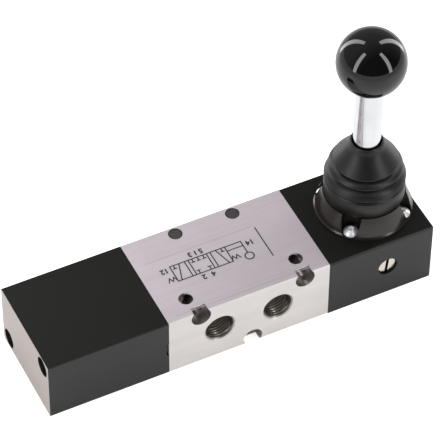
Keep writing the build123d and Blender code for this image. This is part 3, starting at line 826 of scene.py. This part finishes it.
class VALVE_OT_flange(bpy.types.Operator):
    """Finishes the round flange and models its four button-head screws"""

    bl_idname = "valve.flange"
    bl_label = "Flange and screws"

    # The CAD head's radius, which places the axes, and the rim of the head drawn here.
    head_radius = 2.25 * MM
    rim_radius = 2.2 * MM
    head_height = 1.35 * MM
    dome_radius = 2.95 * MM
    dome_centre_drop = 1.6 * MM
    dome_angles = (41, 68)
    dome_steps = 6
    shank_radius = 1.25 * MM
    # The socket: half its width across the flats, the bevel at its mouth, and its floor above the seat.
    key_radius = 0.75 * MM
    key_bevel_width = 0.12 * MM
    key_bevel_depth = 0.08 * MM
    key_floor = 0.45 * MM
    key_tip = 0.3 * MM

    def execute(self, context):
        colours = context.scene.valve_colours
        # Die-cast zinc in stoved black enamel: glossy, a little uneven.
        enamel = finish(
            "black_enamelled_zinc",
            colours.flange,
            metallic=0.0,
            roughness=0.24,
            grain_mm=1.2,
            depth_mm=0.02,
            ior=1.52,
        )
        finish_node("boot_flange", enamel)
        # Steel plated with bright zinc: pale, with a soft shine.
        plated = finish(
            "zinc_plated_steel", colours.zinc, metallic=0.5, roughness=0.34, grain_mm=0.15, depth_mm=0.004
        )
        for place in self.places():
            self.screw(place, plated)
        return {"FINISHED"}

    def places(self):
        """The screws' axes, from the box round all four."""
        xs = (SCREWS_LOW.x + self.head_radius, SCREWS_HIGH.x - self.head_radius)
        ys = (SCREWS_LOW.y + self.head_radius, SCREWS_HIGH.y - self.head_radius)
        return [(x, y) for x in xs for y in ys]

    def screw(self, place, material):
        """A button head over a plain shank, with a hexagon socket."""
        top = SCREWS_HIGH.z
        seat = top - self.head_height
        outline = [
            (AXIS_GAP, SCREWS_LOW.z),
            (self.shank_radius, SCREWS_LOW.z),
            (self.shank_radius, seat),
            (self.rim_radius, seat),
        ]
        dome_z = seat - self.dome_centre_drop
        dome = arc(0, dome_z, self.dome_radius, *self.dome_angles, self.dome_steps)
        outline += [(r, min(z, top)) for r, z in dome]
        outline.append((self.key_radius + self.key_bevel_width, top))
        outline.append((self.key_radius, top - self.key_bevel_depth))
        outline.append((self.key_radius, seat + self.key_floor))
        outline.append((AXIS_GAP, seat + self.key_tip))
        socket_rings = {len(outline) - 3, len(outline) - 2}
        bm = bmesh.new()
        turn(bm, outline, (*place, 0), segments=48, hexes=socket_rings)
        side = "left" if place[0] < LEVER_X else "right"
        end = "front" if place[1] < 0 else "back"
        name = f"flange_screw_{side}_{end}"
        piece = mesh_piece(name, bm, HOUSING, material, smooth_angle=30)
        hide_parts("flange_screws")


class VALVE_OT_boot(bpy.types.Operator):
    """Models the pleated rubber boot, which on the real valve bends with the lever"""

    bl_idname = "valve.boot"
    bl_label = "Boot"

    # Outlines are (radius, height) in millimetres, with heights from the underside of the valve.
    # Only the foot's heights are from the boot's own lower edge.
    foot = ((11.5, 0.0), (11.7, 0.25))
    collar = [(11.8, 31.0), (11.7, 33.2), (11.35, 33.8)]
    # The crest of each pleat, and the gap under the first one, which sets its groove.
    crests = ((11.8, 35.2), (10.75, 38.9), (9.5, 41.3))
    first_gap = 2.4
    # A pleat's shoulder above its crest: millimetres inward, and shares of the gap to the next crest upward.
    shoulder = ((0.3, 0.15), (0.8, 0.34), (1.35, 0.44))
    # The groove under a crest: millimetres inward, and shares of the gap below it downward.
    groove = ((1.9, 0.36), (1.5, 0.27))
    # The edge that hangs over the groove: the corner of its underside, then its rounding.
    overhang = 0.6
    edge_radius = 0.35
    edge_drop = 0.15
    edge_angles = (-75, 55)
    edge_steps = 5
    cone = [(8.95, 42.0), (8.3, 42.9), (7.5, 43.9), (6.75, 44.9), (6.05, 45.8), (5.5, 46.6), (5.15, 47.4)]
    mouth_edge = [(4.95, 48.1), (4.75, 48.4), (4.6, 48.5)]
    lining = [(5.4, 44.0), (6.2, 41.4), (7.3, 38.0), (8.6, 35.5)]
    lining_top = 46.6
    rod_gap = 0.3 * MM
    lip_width = 0.1 * MM
    lip_depth = 0.15 * MM
    # On the real valve the collar stays still on the flange, and the bend starts this far above the boot's
    # lower edge.
    still_height = 6 * MM

    def execute(self, context):
        colours = context.scene.valve_colours
        wall = context.scene.valve_sizes.boot_wall
        # Moulded nitrile rubber: dull black, with a soft sheen on the rounded edges.
        rubber = finish(
            "moulded_nitrile_rubber",
            colours.rubber,
            metallic=0.0,
            roughness=0.44,
            grain_mm=0.4,
            depth_mm=0.015,
            ior=1.52,
        )
        outer = self.outer()
        mouth = ROD_RADIUS + self.rod_gap
        top = outer[-1][1]
        foot_r, foot_z = outer[0]
        lip = [(mouth + self.lip_width, top), (mouth, top - self.lip_depth)]
        inner = [(mouth, self.lining_top * MM)]
        inner += [(r * MM, z * MM) for r, z in self.lining]
        inner += [(foot_r - wall, FLANGE_HIGH.z), (foot_r - wall, foot_z)]
        bm = bmesh.new()
        turn(bm, outer + lip + inner, (LEVER_X, 0, 0), segments=96, closed=True)
        boot = mesh_piece("boot_shell", bm, None, rubber, smooth_angle=80)
        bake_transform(boot)
        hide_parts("boot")
        return {"FINISHED"}

    def outer(self):
        """The outside in metres, from the bottom up: collar, three overhanging pleats, cone round the rod."""
        base = BOOT_LOW.z / MM
        points = [(radius, base + rise) for radius, rise in self.foot] + self.collar
        points += self.edge(*self.crests[0], self.first_gap)
        for (crest, crest_z), (next_crest, next_z) in zip(self.crests, self.crests[1:]):
            gap = next_z - crest_z
            points += [(crest - inward, crest_z + share * gap) for inward, share in self.shoulder]
            points += self.edge(next_crest, next_z, gap)
        points += self.cone + self.mouth_edge
        return [(r * MM, z * MM) for r, z in points]

    def edge(self, crest, crest_z, gap):
        """The groove under a pleat and the rounded edge that hangs over it."""
        points = [(crest - inward, crest_z - share * gap) for inward, share in self.groove]
        points.append((crest - self.overhang, crest_z - self.overhang))
        centre = (crest - self.edge_radius, crest_z - self.edge_drop)
        return points + arc(*centre, self.edge_radius, *self.edge_angles, self.edge_steps)


class VALVE_OT_lever(bpy.types.Operator):
    """Finishes the rod and models the ball knob"""

    bl_idname = "valve.lever"
    bl_label = "Rod and knob"

    edge_steps = 5
    ball_steps = 60
    # The ball's outline stops just short of its pole, where one small face closes it.
    pole_angle = 89.9

    def execute(self, context):
        colours = context.scene.valve_colours
        # Steel, polished and chrome-plated: a bright mirror with hardly any grain.
        chrome = finish(
            "chrome_plated_steel", colours.chrome, metallic=1.0, roughness=0.06, grain_mm=0.4, depth_mm=0.001
        )
        finish_node("lever_rod", chrome)
        self.ball(context, colours)
        return {"FINISHED"}

    def ball(self, context, colours):
        """The moulded ball with a flat underneath and a bore for its threaded bush."""
        edge = context.scene.valve_sizes.knob_edge
        flat = KNOB_LOW.z
        # The small rounding touches the ball and the flat.
        round_z = flat + edge
        round_r = math.sqrt((KNOB_RADIUS - edge) ** 2 - (KNOB_CENTRE_Z - round_z) ** 2)
        meet = math.degrees(math.atan2(round_z - KNOB_CENTRE_Z, round_r))
        bore = (INSERT_HIGH.x - INSERT_LOW.x) / 2
        outline = [(AXIS_GAP, INSERT_HIGH.z), (bore, INSERT_HIGH.z), (bore, flat)]
        outline += arc(round_r, round_z, edge, -90, meet, self.edge_steps)
        outline += arc(0, KNOB_CENTRE_Z, KNOB_RADIUS, meet, self.pole_angle, self.ball_steps)[1:]
        bm = bmesh.new()
        rings = turn(bm, outline, (LEVER_X, 0, 0), segments=128)
        bm.faces.new(rings[-1])
        bm.faces.new(rings[0][::-1])
        # Moulded phenolic resin: deep black with a polished skin.
        resin = finish(
            "polished_phenolic_resin",
            colours.knob,
            metallic=0.0,
            roughness=0.05,
            grain_mm=3.0,
            depth_mm=0.002,
            ior=1.5,
        )
        knob = mesh_piece("ball_knob", bm, LEVER, resin, smooth_angle=40)
        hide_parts("knob")


def heading(bearing, rise):
    """A unit vector, from degrees round the upright axis from +X and degrees above the level."""
    level = math.cos(math.radians(rise))
    x = math.cos(math.radians(bearing)) * level
    y = math.sin(math.radians(bearing)) * level
    return Vector((x, y, math.sin(math.radians(rise))))


class VALVE_OT_stage(bpy.types.Operator):
    """Sets the floor, the surroundings, the lamps and the camera"""

    bl_idname = "valve.stage"
    bl_label = "Stage"

    # The camera's place is in millimetres.
    camera_place = (-257.21, -511.89, 668.21)
    camera_forward = (0.29997, 0.600705, -0.741061)
    camera_right = (0.897945, -0.440055, 0.006765)
    lens_mm = 249.545
    # The floor lies a hair under the valve. It glows to the camera and, more weakly, in reflections.
    floor_half_width = 3.0
    floor_gap = 0.02 * MM
    table_glow_seen = 0.75
    table_glow_mirrored = 0.25
    # The tent's brightness rises between these parts of a direction that point to the back.
    tent_ramp = {"From Min": -0.5, "From Max": 0.4}
    tent_front = 0.13
    tent_back = 1.2
    tent_front_mirrored = 0.04
    tent_mirrored = 0.32
    # Each strip's name, bearing and lowest rise, in degrees as seen from the knob.
    strips = (("right", 17, -16), ("back", 111, -16), ("left", 190, -3), ("front", 300, -3))
    strip_highest = 62
    strip_distance = 0.27
    strip_width = 0.045
    strip_power = 0.24
    panel_place = (-0.25, -0.9, 0.35)
    panel_target = (0, 0, 0.03)
    panel_width = 0.7
    panel_height = 0.5
    panel_power = 2.5

    def execute(self, context):
        backdrop = tuple(context.scene.valve_colours.backdrop)
        self.floor(backdrop)
        self.surroundings(context, backdrop)
        self.lamps()
        self.camera(context)
        return {"FINISHED"}

    def floor(self, backdrop):
        """A wide pale table that stays white to the eye and keeps a soft shadow."""
        bm = bmesh.new()
        bmesh.ops.create_grid(bm, x_segments=1, y_segments=1, size=self.floor_half_width)
        mesh = bpy.data.meshes.new("floor")
        bm.to_mesh(mesh)
        bm.free()
        floor = add_object("floor", mesh)
        floor.location.z = BODY_LOW.z - self.floor_gap
        # White laminate: plain, matt and lit from within, so that it is evenly white up to the horizon.
        material, tree = new_material("white_table")
        ray = add_node(tree, "ShaderNodeLightPath")
        mirrored = add_node(
            tree,
            "ShaderNodeMath",
            {0: (ray, "Is Glossy Ray"), 1: (ray, "Is Transmission Ray")},
            operation="MAXIMUM",
        )
        seen_glow = add_node(
            tree, "ShaderNodeMix", {"A": 0.0, "B": self.table_glow_seen, "Factor": (ray, "Is Camera Ray")}
        )
        strength = add_node(
            tree,
            "ShaderNodeMix",
            {"A": (seen_glow, "Result"), "B": self.table_glow_mirrored, "Factor": (mirrored, "Value")},
        )
        glow = add_node(tree, "ShaderNodeEmission", {"Color": backdrop, "Strength": (strength, "Result")})
        paper = add_node(tree, "ShaderNodeBsdfDiffuse", {"Color": linear("D8D8D8")})
        both = add_node(tree, "ShaderNodeAddShader", {0: (glow, "Emission"), 1: (paper, "BSDF")})
        add_node(tree, "ShaderNodeOutputMaterial", {"Surface": (both, "Shader")})
        mesh.materials.append(material)

    def surroundings(self, context, backdrop):
        """A tent that is dim in front of the valve and bright behind it, dimmer still in reflections, and
        plain white to the camera."""
        world = bpy.data.worlds.new("tent")
        context.scene.world = world
        world.use_nodes = True
        tree = world.node_tree
        tree.nodes.clear()
        ray = add_node(tree, "ShaderNodeLightPath")
        place = add_node(tree, "ShaderNodeTexCoord")
        direction = add_node(tree, "ShaderNodeSeparateXYZ", {"Vector": (place, "Generated")})
        lighting, mirrored = (
            add_node(
                tree,
                "ShaderNodeMapRange",
                {"Value": (direction, "Y"), **self.tent_ramp, "To Min": front, "To Max": back},
            )
            for front, back in (
                (self.tent_front, self.tent_back),
                (self.tent_front_mirrored, self.tent_mirrored),
            )
        )
        strength = add_node(
            tree,
            "ShaderNodeMix",
            {"A": (lighting, "Result"), "B": (mirrored, "Result"), "Factor": (ray, "Is Glossy Ray")},
        )
        unseen = add_node(tree, "ShaderNodeBackground", {"Color": backdrop, "Strength": (strength, "Result")})
        seen = add_node(tree, "ShaderNodeBackground", {"Color": backdrop, "Strength": 1.0})
        mix = add_node(
            tree,
            "ShaderNodeMixShader",
            {"Fac": (ray, "Is Camera Ray"), 1: (unseen, "Background"), 2: (seen, "Background")},
        )
        add_node(tree, "ShaderNodeOutputWorld", {"Surface": (mix, "Shader")})

    def lamps(self):
        """Four thin strips round the knob and one soft panel in front, which leaves no reflection."""
        target = Vector((LEVER_X, 0, KNOB_CENTRE_Z))
        for name, bearing, lowest in self.strips:
            low, high = (
                target + self.strip_distance * heading(bearing, rise) for rise in (lowest, self.strip_highest)
            )
            self.panel(
                "strip_" + name,
                place=(low + high) / 2,
                target=target,
                width=self.strip_width,
                height=(high - low).length,
                power=self.strip_power,
                upward=high - low,
            )
        front = self.panel(
            "front_panel",
            place=Vector(self.panel_place),
            target=Vector(self.panel_target),
            width=self.panel_width,
            height=self.panel_height,
            power=self.panel_power,
            upward=Vector((0, 0, 1)),
        )
        front.visible_glossy = False

    def panel(self, name, place, target, width, height, power, upward):
        """A rectangular lamp facing the target, its height along upward."""
        lamp = bpy.data.lights.new(name, "AREA")
        lamp.shape = "RECTANGLE"
        lamp.size = width
        lamp.size_y = height
        lamp.energy = power
        piece = add_object(name, lamp)
        back = (place - target).normalized()
        side = upward.cross(back).normalized()
        turned = Matrix((side, back.cross(side), back)).transposed().to_4x4()
        piece.matrix_world = Matrix.Translation(place) @ turned
        return piece

    def camera(self, context):
        """A long lens from the front left, above."""
        data = bpy.data.cameras.new("camera")
        data.lens = self.lens_mm
        data.sensor_width = 36
        data.clip_start = 0.05
        data.clip_end = 50
        camera = add_object("camera", data)
        back = -Vector(self.camera_forward).normalized()
        right = Vector(self.camera_right)
        right = (right - right.dot(back) * back).normalized()
        turned = Matrix((right, back.cross(right), back)).transposed().to_4x4()
        camera.matrix_world = Matrix.Translation(Vector(self.camera_place) * MM) @ turned
        context.scene.camera = camera
        context.scene.view_settings.view_transform = "Standard"


STEPS = (
    VALVE_OT_blocks,
    VALVE_OT_plugs,
    VALVE_OT_spool_line,
    VALVE_OT_threads,
    VALVE_OT_engraving,
    VALVE_OT_flange,
    VALVE_OT_boot,
    VALVE_OT_lever,
    VALVE_OT_stage,
)


class VALVE_PT_panel(bpy.types.Panel):
    """Lists the steps that build the valve's looks"""

    bl_idname = "VALVE_PT_panel"
    bl_label = "Air Valve"
    bl_space_type = "VIEW_3D"
    bl_region_type = "UI"
    bl_category = "Air Valve"

    def draw(self, context):
        for step in STEPS:
            self.layout.operator(step.bl_idname)
        for group in (context.scene.valve_colours, context.scene.valve_sizes):
            for name in group.bl_rna.properties.keys():
                if name not in ("rna_type", "name"):
                    self.layout.prop(group, name)


CLASSES = (ValveColours, ValveSizes, *STEPS, VALVE_PT_panel)


def register():
    for item in CLASSES:
        bpy.utils.register_class(item)
    bpy.types.Scene.valve_colours = bpy.props.PointerProperty(type=ValveColours)
    bpy.types.Scene.valve_sizes = bpy.props.PointerProperty(type=ValveSizes)


def unregister():
    del bpy.types.Scene.valve_sizes
    del bpy.types.Scene.valve_colours
    for item in reversed(CLASSES):
        bpy.utils.unregister_class(item)


def main():
    register()
    for step in STEPS:
        group, name = step.bl_idname.split(".")
        getattr(getattr(bpy.ops, group), name)()


if __name__ == "__main__":
    main()
